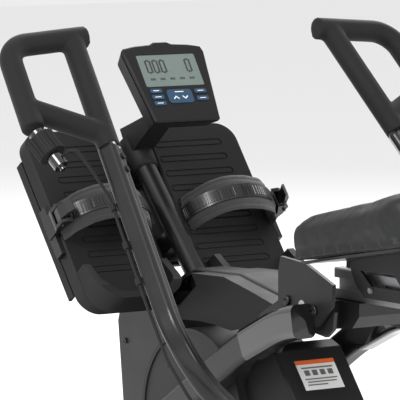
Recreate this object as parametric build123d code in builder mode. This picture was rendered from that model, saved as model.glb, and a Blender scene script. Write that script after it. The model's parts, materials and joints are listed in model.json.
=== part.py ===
"""Folding magnetic rowing machine with swinging multi-grip arms, built from separate pieces.

Millimetres. +Z up, +Y towards the foot plates, +X to the rower's right. The origin is on the
floor, at the middle of the machine's length and width.
"""

from build123d import *
import math
import os

# ---- overall layout -------------------------------------------------------------------------
FRONT_Y = 750.0            # foremost point, the transport wheels
REAR_Y = -750.0            # rearmost point, the rail's end cap
WHEEL_Y, WHEEL_Z = 731.0, 26.0
FOOT_H = 14.0              # height of the rubber feet under the cross tubes

# ---- foot plates ------------------------------------------------------------------------------
PLATE_ORIGIN = (0, 620, 520)
PLATE_TILT = 52.2          # degrees from the horizontal
PLATE_IN_X, PLATE_OUT_X = 30.0, 198.0
PLATE_LOW, PLATE_HIGH = -228.0, 92.0
PLATE_DEPTH = 26.0
SKIRT = 16.0               # extra depth of the plate's outer wall
SLOT_PITCH = 27.1
STRAP_S = -78.0            # position of the strap along the plate
STRAP_X = 118.0            # middle of the strap across the plate
STRAP_RX, STRAP_RN = 80.0, 64.0

# ---- console ----------------------------------------------------------------------------------
CONSOLE_ORIGIN = (0, 538, 665)
CONSOLE_TILT = 55.8
CONSOLE_DEPTH = 34.0
LENS_W, LENS_H = 108.6, 56.9
CONSOLE_HINGE = (-24.0, -46.0)     # along the face, behind the face

# ---- arms -------------------------------------------------------------------------------------
ARM_FOAM_END = (264.3, 321.0, 595.0)     # where the foam grip starts on the steel tube
ARM_TOP = (237.8, 465.9, 748.6)          # top corner of the grip
ARM_BEND_LENGTH = 402.0                  # from the foam's end to the bend's corner
ARM_HUB = (88.0, 150.0, 160.0)
ARM_BEND_R = 105.0
ARM_W, ARM_T = 32.0, 30.0
GRIP_R = 17.0
GRIP_WIDTH = 115.0                       # main bar to outer bar
OUTER_END = 52.0                         # where the outer bar stops above the foam's end
SHAFT_R = 12.0
SHAFT_Y, SHAFT_Z = 150.0, 160.0

# ---- housing ----------------------------------------------------------------------------------
DRUM_Y, DRUM_Z, DRUM_R = 384.0, 176.0, 134.0
HOUSING_X = 70.0
WALL = 4.0
NECK_X = 62.0

# ---- frame ------------------------------------------------------------------------------------
TUBE_X, TUBE_W, TUBE_H = 102.0, 36.0, 45.0
HINGE_Y, HINGE_Z = 94.0, 376.0
HINGE_PIN_R = 8.0

# ---- rail and seat ----------------------------------------------------------------------------
RAIL_W, RAIL_H = 70.0, 46.0
RAIL_Z = 385.0                           # underside
RAIL_FRONT, RAIL_BACK = 78.0, -742.0
SEAT_FRONT, SEAT_LENGTH, SEAT_WIDTH = 52.0, 322.0, 336.0
SEAT_Z = 445.0                           # underside of the cushion at its front
SEAT_TILT = 9.9
SEAT_TOP = ((90, 492), (20, 506), (-60, 524), (-140, 543), (-200, 559), (-300, 606))   # top line, Y and Z
ROLLER_R = 14.0
ROLLER_Y = (-30.0, -200.0)
GROOVE_H, GROOVE_D = 16.0, 9.0
GROOVE_Z = 408.0

CLEAR = 0.05                             # radial clearance of a running fit

os.makedirs("parts", exist_ok=True)


def save(builder, name):
    """Label the finished piece and write it as parts/<name>.step."""
    builder.part.label = name
    export_step(builder.part, f"parts/{name}.step")


def outline(points, mode=Mode.ADD):
    """Closed face from corner points, in the current sketch."""
    return Polygon(*points, align=None, mode=mode)


def yz(x):
    """Plane at X = x whose local axes are Y and Z."""
    return Plane.YZ.offset(x)


def tilted(origin, degrees, up=0.0, out=0.0):
    """Plane on a surface tilted from the horizontal: local x is +X, local y runs up the slope."""
    a = math.radians(degrees)
    slope = Vector(0, math.cos(a), math.sin(a))
    normal = Vector(0, -math.sin(a), math.cos(a))
    return Plane(Vector(*origin) + slope * up + normal * out, x_dir=(1, 0, 0), z_dir=normal)


def across(origin, degrees, up):
    """Plane square to the slope at distance up: local x is -X, local y is the outward normal."""
    a = math.radians(degrees)
    slope = Vector(0, math.cos(a), math.sin(a))
    return Plane(Vector(*origin) + slope * up, x_dir=(-1, 0, 0), z_dir=slope)


def square_to(start, direction, x_dir=None):
    """Plane at a point with its normal along a direction."""
    if x_dir is None:
        return Plane(origin=start, z_dir=direction)
    return Plane(origin=start, x_dir=x_dir, z_dir=direction)


# ============================ base: stabilizers, keel, side tubes ==============================
with BuildPart() as stabilizers:
    for y_mid, half in ((685, 230), (65, 170)):
        with BuildSketch(Plane.YZ.offset(-half)):
            with Locations((y_mid, FOOT_H + 18)):
                RectangleRounded(50, 36, 8)
                RectangleRounded(45, 31, 5.5, mode=Mode.SUBTRACT)
        extrude(amount=2 * half)
        for end in (-half, half - 4):
            with BuildSketch(yz(end)):
                with Locations((y_mid, FOOT_H + 18)):
                    RectangleRounded(50, 36, 8)
            extrude(amount=4)
    for x in (-176, -142, 138, 172):
        with BuildSketch(yz(x)):
            outline(((709, 18), (740, 18), (740, 34), (709, 46)))
        extrude(amount=4)
    for side in (-1, 1):
        with BuildSketch(yz(side * 157 - 23)):
            with Locations((WHEEL_Y, WHEEL_Z)):
                Circle(5)
        extrude(amount=46)
save(stabilizers, "stabilizers")

with BuildPart() as floor_feet:
    for y_mid, x_mid in ((685, 205), (65, 145)):
        for side in (-1, 1):
            with BuildSketch(Plane.XY):
                with Locations((side * x_mid, y_mid)):
                    RectangleRounded(44, 56, 10)
            extrude(amount=FOOT_H)
save(floor_feet, "floor_feet")

with BuildPart() as transport_wheels:
    for side in (-1, 1):
        with BuildSketch(yz(side * 157 - 11)):
            with Locations((WHEEL_Y, WHEEL_Z)):
                Circle(FRONT_Y - WHEEL_Y)
                Circle(5 + CLEAR, mode=Mode.SUBTRACT)
        extrude(amount=22)
save(transport_wheels, "transport_wheels")

with BuildPart() as keel:
    with BuildSketch(Plane.XZ.offset(-90.2)):
        with Locations((0, FOOT_H + 14)):
            RectangleRounded(60, 28, 5)
            RectangleRounded(54, 22, 3, mode=Mode.SUBTRACT)
    extrude(amount=-569.6)
save(keel, "keel")

with BuildPart() as chassis_plates:
    for side in (-1, 1):
        with BuildSketch(yz(side * 47 - 3)):
            outline(((131, 43), (556, 43), (562, 290), (500, 312), (490, 110), (430, 110), (424, 212),
                     (344, 212), (338, 96), (190, 96), (182, 186), (131, 186)))
            with Locations((SHAFT_Y, SHAFT_Z)):
                Circle(SHAFT_R + CLEAR, mode=Mode.SUBTRACT)
            with Locations((DRUM_Y, DRUM_Z)):
                Circle(7, mode=Mode.SUBTRACT)
        extrude(amount=6)
    with BuildSketch(Plane.XY.offset(43)):
        for y_mid in (157, 530):
            with Locations((0, y_mid)):
                Rectangle(88, 46)
    extrude(amount=5)
save(chassis_plates, "chassis_plates")

SIDE_PATH = ((660, 34), (634, 34), (205, 304), (105, 350), (70, 356.4))
with BuildPart() as side_tubes:
    for side in (-1, 1):
        with BuildLine() as tube_route:
            FilletPolyline(*[(side * TUBE_X, y, z) for y, z in SIDE_PATH], radius=(60, 400, 220))
        with BuildSketch(square_to(tube_route.line @ 0, tube_route.line % 0, (1, 0, 0))):
            RectangleRounded(TUBE_W, TUBE_H, 9)
            RectangleRounded(TUBE_W - 5, TUBE_H - 5, 6.5, mode=Mode.SUBTRACT)
        sweep(path=tube_route.line)
save(side_tubes, "side_tubes")

with BuildPart() as tube_sleeves:
    for side in (-1, 1):
        with BuildLine() as sleeve_route:
            FilletPolyline(*[(side * TUBE_X, y, z) for y, z in ((192, 310), (105, 350), (62, 357.9))], radius=220)
        with BuildSketch(square_to(sleeve_route.line @ 0, sleeve_route.line % 0, (1, 0, 0))):
            RectangleRounded(TUBE_W + 5, TUBE_H + 5, 11)
        sweep(path=sleeve_route.line)
        with BuildLine() as core_route:
            FilletPolyline(*[(side * TUBE_X, y, z) for y, z in SIDE_PATH], radius=(60, 400, 220))
        with BuildSketch(square_to(core_route.line @ 0, core_route.line % 0, (1, 0, 0))):
            RectangleRounded(TUBE_W + 0.1, TUBE_H + 0.1, 9)
        sweep(path=core_route.line, mode=Mode.SUBTRACT)
    with BuildSketch(yz(-82)):
        outline(((220, 200), (20, 200), (20, 460), (220, 460)))
    extrude(amount=164, mode=Mode.SUBTRACT)
save(tube_sleeves, "tube_sleeves")

HEX = ((147, 443), (85, 438), (18, 413), (21, 381), (56, 348), (84, 356), (104, 356), (132, 352),
       (152, 378), (152, 421))
LOCK = (48, 402)
with BuildPart() as hinge_plates:
    for side in (-1, 1):
        with BuildSketch(yz(side * 79 - 3)):
            outline(HEX)
            with Locations((HINGE_Y, HINGE_Z)):
                Circle(HINGE_PIN_R, mode=Mode.SUBTRACT)
        extrude(amount=6)
        with BuildSketch(yz(side * 79 - 3)):
            outline(((152, 300), (200, 300), (200, 352), (152, 378), (132, 352), (120, 348)))
        extrude(amount=6)
    with BuildSketch(yz(70)):
        with Locations(LOCK):
            Circle(4 + CLEAR)
    extrude(amount=20, mode=Mode.SUBTRACT)
save(hinge_plates, "hinge_plates")

with BuildPart() as fold_pin:
    with BuildSketch(yz(-81.8)):
        with Locations((HINGE_Y, HINGE_Z)):
            Circle(HINGE_PIN_R)
    extrude(amount=163.6)
save(fold_pin, "fold_pin")

with BuildPart() as lock_pin:
    with BuildSketch(yz(77)):
        with Locations(LOCK):
            Circle(4)
    extrude(amount=20)
    with BuildSketch(yz(88)):
        with Locations(LOCK):
            Circle(13)
    extrude(amount=22)
    fillet(lock_pin.edges().filter_by(GeomType.CIRCLE).group_by(Axis.X)[-1], 4)
save(lock_pin, "lock_pin")

# ============================ housing ===========================================================
TOWER = ((262, 44), (566, 44), (582, 180), (596, 300), (588, 324), (455, 324), (400, 176), (262, 176))


def housing_half(side):
    """Half shell of the lower housing: a round drum joined to the front tower, open at X = 0."""
    x_in, x_out = side * 0.1, side * HOUSING_X
    with BuildPart() as half:
        with BuildSketch(yz(x_in)):
            outline(TOWER)
            with Locations((DRUM_Y, DRUM_Z)):
                Circle(DRUM_R)
        extrude(amount=x_out - x_in)
        with BuildSketch(yz(0)):
            outline(TOWER)
            with Locations((DRUM_Y, DRUM_Z)):
                Circle(DRUM_R)
            offset(amount=-WALL)
        extrude(amount=side * (HOUSING_X - WALL), mode=Mode.SUBTRACT)
        with BuildSketch(yz(0)):
            outline(((240, 40), (561, 40), (561, 49), (300, 49), (300, 245), (240, 245)))
        extrude(amount=side * 52, mode=Mode.SUBTRACT)
    return half


for side, name in ((-1, "housing_left"), (1, "housing_right")):
    save(housing_half(side), name)

with BuildPart() as disc_covers:
    for side in (-1, 1):
        face_x = side * (HOUSING_X + 0.2)
        with BuildSketch(yz(face_x)):
            with Locations((DRUM_Y, DRUM_Z)):
                Circle(DRUM_R - 6)
        extrude(amount=side * 5)
        with BuildSketch(yz(face_x)):
            with Locations((DRUM_Y, DRUM_Z)):
                Circle(DRUM_R)
                Circle(DRUM_R - 7, mode=Mode.SUBTRACT)
        extrude(amount=side * 7.5)
        with BuildSketch(yz(side * (HOUSING_X + 2))):
            with Locations((DRUM_Y - 62, DRUM_Z + 72)):
                Circle(5)
            with Locations((DRUM_Y + 62, DRUM_Z + 72)):
                Circle(5)
        extrude(amount=side * 10, mode=Mode.SUBTRACT)
save(disc_covers, "disc_covers")

SHROUD = ((516, 328), (526, 350), (474, 382), (446, 390), (320, 394), (262, 382), (184, 364), (172, 354),
          (200, 340), (262, 324), (302, 315), (340, 319), (384, 321), (430, 318), (455, 327.5))
MAST_LOW, MAST_HIGH = (0, 447, 340), (0, 664, 573)
with BuildPart() as top_shroud:
    with BuildSketch(yz(-62)):
        outline(SHROUD)
    extrude(amount=124)
    fillet(top_shroud.edges().filter_by(Axis.X).sort_by(Axis.Z)[-4:], 14)
    with BuildSketch(yz(-58)):
        outline(((510, 300), (520, 348), (471, 377), (446, 385), (320, 389), (264, 377), (262, 300)))
    extrude(amount=116, mode=Mode.SUBTRACT)
    with BuildSketch(square_to(Vector(*MAST_LOW), Vector(*MAST_HIGH) - Vector(*MAST_LOW))):
        Circle(18.5)
    extrude(amount=120, mode=Mode.SUBTRACT)
    with BuildSketch(tilted(PLATE_ORIGIN, PLATE_TILT, -190, -PLATE_DEPTH - 4)):
        with Locations((-54, 0), (54, 0)):
            Rectangle(54, 130)
    extrude(amount=120, mode=Mode.SUBTRACT)
save(top_shroud, "top_shroud")

REAR = ((262, 44), (125, 44), (108, 62), (104, 120), (118, 204), (141, 234), (190, 296), (212, 304),
        (234, 296), (247, 268), (262, 236))
with BuildPart() as rear_cover:
    with BuildSketch(yz(-NECK_X)):
        outline(REAR)
    extrude(amount=2 * NECK_X)
    fillet(rear_cover.edges().filter_by(Axis.X).sort_by(Axis.Y)[:6], 6)
    fillet(rear_cover.faces().sort_by(Axis.X)[0].edges().sort_by(Axis.Y)[:7], 5)
    fillet(rear_cover.faces().sort_by(Axis.X)[-1].edges().sort_by(Axis.Y)[:7], 5)
    with BuildSketch(yz(-NECK_X + WALL)):
        outline(((270, 48), (129, 48), (113, 64), (109, 120), (122, 202), (145, 231), (193, 291), (212, 298),
                 (230, 292), (243, 266), (270, 220)))
    extrude(amount=2 * (NECK_X - WALL), mode=Mode.SUBTRACT)
    with BuildSketch(yz(-80)):
        with Locations((DRUM_Y, DRUM_Z)):
            Circle(DRUM_R + 0.3)
        with Locations((SHAFT_Y, SHAFT_Z)):
            Circle(SHAFT_R + 2)
        outline(((261.7, 40), (300, 40), (300, 240), (261.7, 240)))
    extrude(amount=160, mode=Mode.SUBTRACT)
    with BuildSketch(yz(-52)):
        outline(((129, 40), (270, 40), (270, 49), (129, 49)))
    extrude(amount=104, mode=Mode.SUBTRACT)
save(rear_cover, "rear_cover")

# ============================ drive inside the housing ==========================================
with BuildPart() as flywheel_axle:
    with BuildSketch(yz(-58)):
        with Locations((DRUM_Y, DRUM_Z)):
            Circle(7)
    extrude(amount=116)
save(flywheel_axle, "flywheel_axle")

with BuildPart() as flywheel:
    for start, length, radius in ((-11, 22, 100), (11, 12, 30), (23, 14, 17)):
        with BuildSketch(yz(start)):
            with Locations((DRUM_Y, DRUM_Z)):
                Circle(radius)
        extrude(amount=length)
    with BuildSketch(yz(-20)):
        with Locations((DRUM_Y, DRUM_Z)):
            Circle(7 + CLEAR)
            with PolarLocations(62, 6):
                Circle(17)
    extrude(amount=31, mode=Mode.SUBTRACT)
    with BuildSketch(yz(-20)):
        with Locations((DRUM_Y, DRUM_Z)):
            Circle(7 + CLEAR)
    extrude(amount=70, mode=Mode.SUBTRACT)
save(flywheel, "flywheel")

with BuildPart() as magnet_yoke:
    for side in (-1, 1):
        with BuildSketch(yz(side * 19 - 5)):
            with Locations((DRUM_Y, DRUM_Z)):
                Circle(120)
                Circle(74, mode=Mode.SUBTRACT)
            outline(((DRUM_Y, DRUM_Z), (DRUM_Y + 60, DRUM_Z + 200), (DRUM_Y - 120, DRUM_Z + 200)), Mode.INTERSECT)
        extrude(amount=10)
save(magnet_yoke, "magnet_yoke")

BELT_X = 24.0
PULLEY_R, SMALL_R = 29.0, 17.0


def belt_loop(extra):
    """Outline of a belt round both pulleys, a given distance outside them."""
    with BuildSketch(yz(BELT_X)) as loop:
        with Locations((SHAFT_Y, SHAFT_Z)):
            Circle(PULLEY_R + extra)
        with Locations((DRUM_Y, DRUM_Z)):
            Circle(SMALL_R + extra)
        make_hull()
    return loop.sketch


with BuildPart() as belt:
    extrude(belt_loop(2.9), amount=11)
    extrude(belt_loop(0.4), amount=11, mode=Mode.SUBTRACT)
save(belt, "belt")

# ============================ mast, foot plates, straps =========================================
mast_axis = Vector(*MAST_HIGH) - Vector(*MAST_LOW)
with BuildPart() as mast:
    with BuildSketch(square_to(Vector(*MAST_LOW), mast_axis)):
        Circle(17)
        Circle(14.5, mode=Mode.SUBTRACT)
    extrude(amount=mast_axis.length)
    with BuildSketch(Plane.XY.offset(324.2)):
        with Locations((0, 468)):
            Rectangle(96, 26)
    extrude(amount=12)
    with BuildSketch(yz(-14)):
        outline(((456, 336), (481, 336), (481, 352), (472, 366)))
    extrude(amount=28)
    with BuildSketch(square_to(Vector(*MAST_LOW) - mast_axis * 0.05, mast_axis)):
        Circle(14.5)
    extrude(amount=mast_axis.length * 1.1, mode=Mode.SUBTRACT)
save(mast, "mast")

with BuildPart() as plate_bracket:
    for up in (-120, 20):
        with BuildSketch(tilted(PLATE_ORIGIN, PLATE_TILT, up, -PLATE_DEPTH - 0.2)):
            RectangleRounded(330, 44, 6)
        extrude(amount=-8)
    with BuildSketch(tilted(PLATE_ORIGIN, PLATE_TILT, -50, -PLATE_DEPTH - 8.2)):
        RectangleRounded(60, 190, 6)
    extrude(amount=-6)
    for up in (-120, 20):
        with BuildSketch(tilted(PLATE_ORIGIN, PLATE_TILT, up, -PLATE_DEPTH - 0.2)):
            Rectangle(22, 30)
        extrude(amount=PLATE_DEPTH + 6)
    with BuildSketch(square_to(Vector(*MAST_LOW), mast_axis)):
        Circle(17.1)
    extrude(amount=mast_axis.length, mode=Mode.SUBTRACT)
save(plate_bracket, "plate_bracket")

PLATE_MID = (PLATE_IN_X + PLATE_OUT_X) / 2
PLATE_W = PLATE_OUT_X - PLATE_IN_X
PLATE_L = PLATE_HIGH - PLATE_LOW
PLATE_UP = (PLATE_HIGH + PLATE_LOW) / 2


def foot_plate(side):
    """Moulded tray with rounded corners, a hollow back and nine shallow tread slots."""
    with BuildPart() as plate:
        with BuildSketch(tilted(PLATE_ORIGIN, PLATE_TILT)):
            with Locations((side * PLATE_MID, PLATE_UP)):
                RectangleRounded(PLATE_W, PLATE_L, 34)
        extrude(amount=-PLATE_DEPTH)
        chamfer(plate.faces().sort_by(Axis.Z)[-1].edges(), 3)
        with BuildSketch(tilted(PLATE_ORIGIN, PLATE_TILT, 0, -PLATE_DEPTH)):
            with Locations((side * PLATE_MID, PLATE_UP)):
                RectangleRounded(PLATE_W - 10, PLATE_L - 10, 29)
        extrude(amount=PLATE_DEPTH - 6, mode=Mode.SUBTRACT)
        with BuildSketch(tilted(PLATE_ORIGIN, PLATE_TILT, 0, -PLATE_DEPTH)):
            with Locations((side * (PLATE_OUT_X - 2.5), PLATE_UP)):
                Rectangle(5, PLATE_L - 76)
        extrude(amount=-SKIRT)
        with BuildSketch(tilted(PLATE_ORIGIN, PLATE_TILT)):
            with Locations(*[(side * 100, SLOT_PITCH * k) for k in range(-6, 3)]):
                SlotOverall(129, 13)
                SlotOverall(123, 7, mode=Mode.SUBTRACT)
        extrude(amount=-1.2, mode=Mode.SUBTRACT)
    return plate


for side, name in ((-1, "foot_plate_left"), (1, "foot_plate_right")):
    save(foot_plate(side), name)

with BuildPart() as heel_cups:
    for side in (-1, 1):
        with BuildSketch(tilted(PLATE_ORIGIN, PLATE_TILT, 0, 0.1)):
            with Locations((side * 120, -182)):
                RectangleRounded(152, 116, 40)
            with Locations((side * 120, -170)):
                RectangleRounded(128, 116, 34, mode=Mode.SUBTRACT)
            with Locations((side * 120, -133)):
                Rectangle(160, 64, mode=Mode.SUBTRACT)
        extrude(amount=44)
        with BuildSketch(yz(side * 120 - 90)):
            frame_plane = tilted(PLATE_ORIGIN, PLATE_TILT)
            low, high, top = (frame_plane.from_local_coords(p) for p in ((0, -215, 44.2), (0, -125, 8), (0, -125, 60)))
            outline(((low.Y, low.Z), (high.Y, high.Z), (top.Y, top.Z)))
        extrude(amount=180, mode=Mode.SUBTRACT)
save(heel_cups, "heel_cups")


def strap_band(side, rx, rn, thick, width, up):
    """Half-elliptical band standing on the plate, open at its ends."""
    plane = across(PLATE_ORIGIN, PLATE_TILT, up - width / 2)
    with BuildPart() as band:
        with BuildSketch(plane):
            with Locations((-side * STRAP_X, 0)):
                Ellipse(rx, rn)
                Ellipse(rx - thick, rn - thick, mode=Mode.SUBTRACT)
            with Locations((-side * STRAP_X, -50 + 0.2)):
                Rectangle(2.2 * rx, 100, mode=Mode.SUBTRACT)
        extrude(amount=width)
    return band.part


with BuildPart() as strap_pads:
    for side in (-1, 1):
        add(strap_band(side, STRAP_RX, STRAP_RN, 7.0, 62, STRAP_S))
save(strap_pads, "strap_pads")

with BuildPart() as ladder_straps:
    for side in (-1, 1):
        add(strap_band(side, STRAP_RX + 3.0, STRAP_RN + 3.0, 2.7, 24, STRAP_S))
save(ladder_straps, "ladder_straps")

# the buckle follows the strap's outer side, between the plate's edge and the middle of the strap
BUCKLE = ((201.7, -18), (208, -18), (208, 6), (211, 14), (211, 34), (203, 38), (190.5, 36), (193.9, 30), (199.4, 18),
          (201.7, 4))
BUCKLE_SLOT = ((203, 18), (214, 18), (214, 44), (186, 44), (195.5, 34))
LEVER = ((204, 22), (209.5, 22), (210.5, 34), (206, 50), (199, 60), (196, 58), (200.5, 46), (203, 34))
PIVOT = (206, 27)
with BuildPart() as buckle_bases:
    for side in (-1, 1):
        with BuildSketch(across(PLATE_ORIGIN, PLATE_TILT, STRAP_S - 17)):
            outline([(-side * x, n) for x, n in BUCKLE])
        extrude(amount=34)
        with BuildSketch(across(PLATE_ORIGIN, PLATE_TILT, STRAP_S - 50)):
            outline([(-side * x, n) for x, n in ((198.1, -20), (206, -20), (206, -2), (198.1, -2))])
        extrude(amount=84)
        with BuildSketch(across(PLATE_ORIGIN, PLATE_TILT, STRAP_S - 11)):
            outline([(-side * x, n) for x, n in BUCKLE_SLOT])
        extrude(amount=22, mode=Mode.SUBTRACT)
        with BuildSketch(across(PLATE_ORIGIN, PLATE_TILT, STRAP_S - 20)):
            with Locations((-side * PIVOT[0], PIVOT[1])):
                Circle(2.5)
        extrude(amount=40)
save(buckle_bases, "buckle_bases")

for side, name in ((-1, "lever_left"), (1, "lever_right")):
    with BuildPart() as lever:
        with BuildSketch(across(PLATE_ORIGIN, PLATE_TILT, STRAP_S - 10)):
            outline([(-side * x, n) for x, n in LEVER])
            with Locations((-side * PIVOT[0], PIVOT[1])):
                Circle(2.5 + CLEAR, mode=Mode.SUBTRACT)
        extrude(amount=20)
    save(lever, name)

# ============================ console ===========================================================
FACE = ((-60, -62), (-75, 60), (-72, 70), (-50, 74), (-20, 76), (-12, 80), (12, 80), (20, 76), (50, 74), (72, 70),
        (75, 60), (60, -62))
PILLS = ((-41, -8), (-41, -19), (-41, -30), (40, -11), (40, -24))
BUTTONS = ("button_left_top", "button_left_middle", "button_left_low", "button_right_top", "button_right_low")
PILL_W, PILL_H = 22.0, 7.6


def console_plane(out=0.0):
    return tilted(CONSOLE_ORIGIN, CONSOLE_TILT, 0, out)


with BuildPart() as console_face:
    with BuildSketch(console_plane(-7)) as face_sketch:
        outline(FACE)
        fillet(face_sketch.vertices(), 3)
    extrude(amount=7)
    chamfer(console_face.faces().sort_by(Axis.Z)[-1].edges(), 2.5)
    with BuildSketch(console_plane(0)):
        with Locations((0, LENS_H / 2)):
            RectangleRounded(LENS_W, LENS_H, 3)
    extrude(amount=-4, mode=Mode.SUBTRACT)
    with BuildSketch(console_plane(-8)):
        with Locations(*PILLS):
            RectangleRounded(PILL_W + 0.8, PILL_H + 0.8, 3)
        with Locations((0, -19)):
            RectangleRounded(46.8, 24.8, 6)
    extrude(amount=9, mode=Mode.SUBTRACT)
save(console_face, "console_face")

with BuildPart() as console_lens:
    with BuildSketch(console_plane(-3.9)):
        with Locations((0, LENS_H / 2)):
            RectangleRounded(LENS_W - 0.6, LENS_H - 0.6, 3)
    extrude(amount=3)
save(console_lens, "console_lens")

with BuildPart() as console_rear:
    with BuildSketch(console_plane(-7.1)) as rear_sketch:
        outline(FACE)
        fillet(rear_sketch.vertices(), 3)
    extrude(amount=-(CONSOLE_DEPTH - 7), taper=16)
    with BuildSketch(console_plane(-7.1)) as rear_inner:
        outline(FACE)
        offset(amount=-4)
    extrude(amount=-(CONSOLE_DEPTH - 11), taper=16, mode=Mode.SUBTRACT)
    with BuildSketch(console_plane(-CONSOLE_DEPTH + 0.2)):
        with Locations((0, CONSOLE_HINGE[0])):
            Rectangle(15, 18)
    extrude(amount=-20)
    hinge_plane = console_plane()
    console_hinge = hinge_plane.from_local_coords((0, *CONSOLE_HINGE))
    with BuildSketch(yz(-20)):
        with Locations((console_hinge.Y, console_hinge.Z)):
            Circle(4 + CLEAR)
    extrude(amount=40, mode=Mode.SUBTRACT)
save(console_rear, "console_rear")

for (x, up), name in zip(PILLS, BUTTONS):
    with BuildPart() as button:
        with BuildSketch(console_plane(-8)):
            with Locations((x, up)):
                RectangleRounded(PILL_W, PILL_H, 2.8)
        extrude(amount=9.4)
    save(button, name)
with BuildPart() as button_centre:
    with BuildSketch(console_plane(-8)):
        with Locations((0, -19)):
            RectangleRounded(46, 24, 5.6)
    extrude(amount=9.4)
save(button_centre, "button_centre")

NECK_TOP = (console_hinge.Y, console_hinge.Z)
with BuildPart() as console_neck:
    with BuildSketch(yz(-19)):
        outline(((650, 558), (668, 590), (640, 600), (NECK_TOP[0] + 8, NECK_TOP[1] + 6), (NECK_TOP[0] - 5, NECK_TOP[1] + 5),
                 (NECK_TOP[0] - 5, NECK_TOP[1] - 6), (NECK_TOP[0] + 6, NECK_TOP[1] - 9), (630, 560)))
    extrude(amount=38)
    with BuildSketch(yz(-8)):
        with Locations((NECK_TOP[0] - 2, NECK_TOP[1] + 2)):
            Circle(21)
    extrude(amount=16, mode=Mode.SUBTRACT)
    with BuildSketch(square_to(Vector(*MAST_LOW), mast_axis)):
        Circle(17.1)
    extrude(amount=mast_axis.length + 0.3, mode=Mode.SUBTRACT)
    with BuildSketch(yz(-19)):
        with Locations(NECK_TOP):
            Circle(4)
    extrude(amount=38)
save(console_neck, "console_neck")

# ============================ arms ==============================================================
foam_end = Vector(*ARM_FOAM_END)
grip_up = (Vector(*ARM_TOP) - foam_end).normalized()
grip_length = (Vector(*ARM_TOP) - foam_end).length
arm_corner = foam_end - grip_up * ARM_BEND_LENGTH
hub_end = Vector(*ARM_HUB)


def mirrored(point, side):
    return Vector(side * point.X, point.Y, point.Z)


def grip_point(out, up, side):
    """Point of the grip's plane: out from the main bar, up from the foam's end."""
    return mirrored(foam_end + grip_up * up + Vector(1, 0, -0.05) * out, side)


for side, name in ((-1, "arm_left"), (1, "arm_right")):
    start, corner, end = (mirrored(p, side) for p in (foam_end, arm_corner, hub_end))
    flat = (corner - start).cross(end - corner)
    with BuildPart() as arm:
        with BuildLine() as arm_route:
            FilletPolyline(start, corner, end, radius=ARM_BEND_R)
        with BuildSketch(square_to(start, corner - start, flat)):
            RectangleRounded(ARM_T, ARM_W, 9)
            RectangleRounded(ARM_T - 5, ARM_W - 5, 6.5, mode=Mode.SUBTRACT)
        sweep(path=arm_route.line)
        with BuildSketch(square_to(start, corner - start, flat)):
            RectangleRounded(ARM_T, ARM_W, 9)
        extrude(amount=8)
        with BuildSketch(square_to(start, start - corner)):
            Circle(10.9)
        extrude(amount=170)
        with BuildSketch(yz(side * 64)):
            with Locations((SHAFT_Y, SHAFT_Z)):
                Circle(22)
        extrude(amount=side * 34)
        with BuildSketch(yz(side * 60)):
            with Locations((SHAFT_Y, SHAFT_Z)):
                Circle(SHAFT_R)
        extrude(amount=side * 45, mode=Mode.SUBTRACT)
    save(arm, name)

with BuildPart() as arm_shaft:
    with BuildSketch(yz(-102)):
        with Locations((SHAFT_Y, SHAFT_Z)):
            Circle(SHAFT_R)
    extrude(amount=204)
    with BuildSketch(yz(BELT_X - 1)):
        with Locations((SHAFT_Y, SHAFT_Z)):
            Circle(PULLEY_R)
    extrude(amount=13)
save(arm_shaft, "arm_shaft")

for side, name in ((-1, "handle_left"), (1, "handle_right")):
    with BuildPart() as handle:
        for points, bend in (
            (((-24, grip_length), (GRIP_WIDTH, grip_length - 4), (GRIP_WIDTH, OUTER_END)), 42),
            (((0, 0), (0, grip_length)), 0),
            (((4, 31), (GRIP_WIDTH - 4, 89)), 0),
        ):
            corners = [grip_point(out, up, side) for out, up in points]
            with BuildLine() as bar_route:
                if bend:
                    FilletPolyline(*corners, radius=bend)
                else:
                    Line(*corners)
            with BuildSketch(square_to(bar_route.line @ 0, bar_route.line % 0)):
                Circle(GRIP_R)
            sweep(path=bar_route.line)
        with Locations(grip_point(0, grip_length, side)):
            Sphere(GRIP_R)
        with BuildSketch(square_to(mirrored(foam_end, side), mirrored(grip_up, side))):
            Circle(11)
        extrude(amount=172, mode=Mode.SUBTRACT)
    save(handle, name)

# ---- resistance twist knob at the foot of the left grip's outer bar ----------------------------
KNOB_START = grip_point(GRIP_WIDTH, OUTER_END, -1)
KNOB_AXIS = Vector(0.22, -0.68, -0.70).normalized()


def knob_disc(distance, length, radius, mode=Mode.ADD):
    """Cylinder on the knob's axis."""
    with BuildSketch(square_to(KNOB_START + KNOB_AXIS * distance, KNOB_AXIS)) as disc:
        Circle(radius)
    return extrude(disc.sketch, amount=length, mode=mode)


with BuildPart() as knob_mount:
    knob_disc(7.4, 6, 12)
    knob_disc(9, 50, 5)
    knob_disc(51.4, 22, 11)
    knob_disc(73.0, 6, 4.5)
save(knob_mount, "knob_mount")

with BuildPart() as resistance_knob:
    with BuildSketch(square_to(KNOB_START + KNOB_AXIS * 16.6, KNOB_AXIS)):
        Circle(19.5)
        with PolarLocations(19.5, 18):
            Circle(1.8)
    extrude(amount=34.4)
    knob_disc(0, 60, 5 + CLEAR, Mode.SUBTRACT)
save(resistance_knob, "resistance_knob")

# ---- resistance cable, held by the left arm all the way to the shaft ----------------------------
def beside_arm(distance, side_out=20.5, front=12.5):
    """Point beside the left arm, a distance below the foam's end."""
    p = mirrored(foam_end - grip_up * distance, -1)
    return Vector(p.X - side_out, p.Y + front, p.Z)


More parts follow.
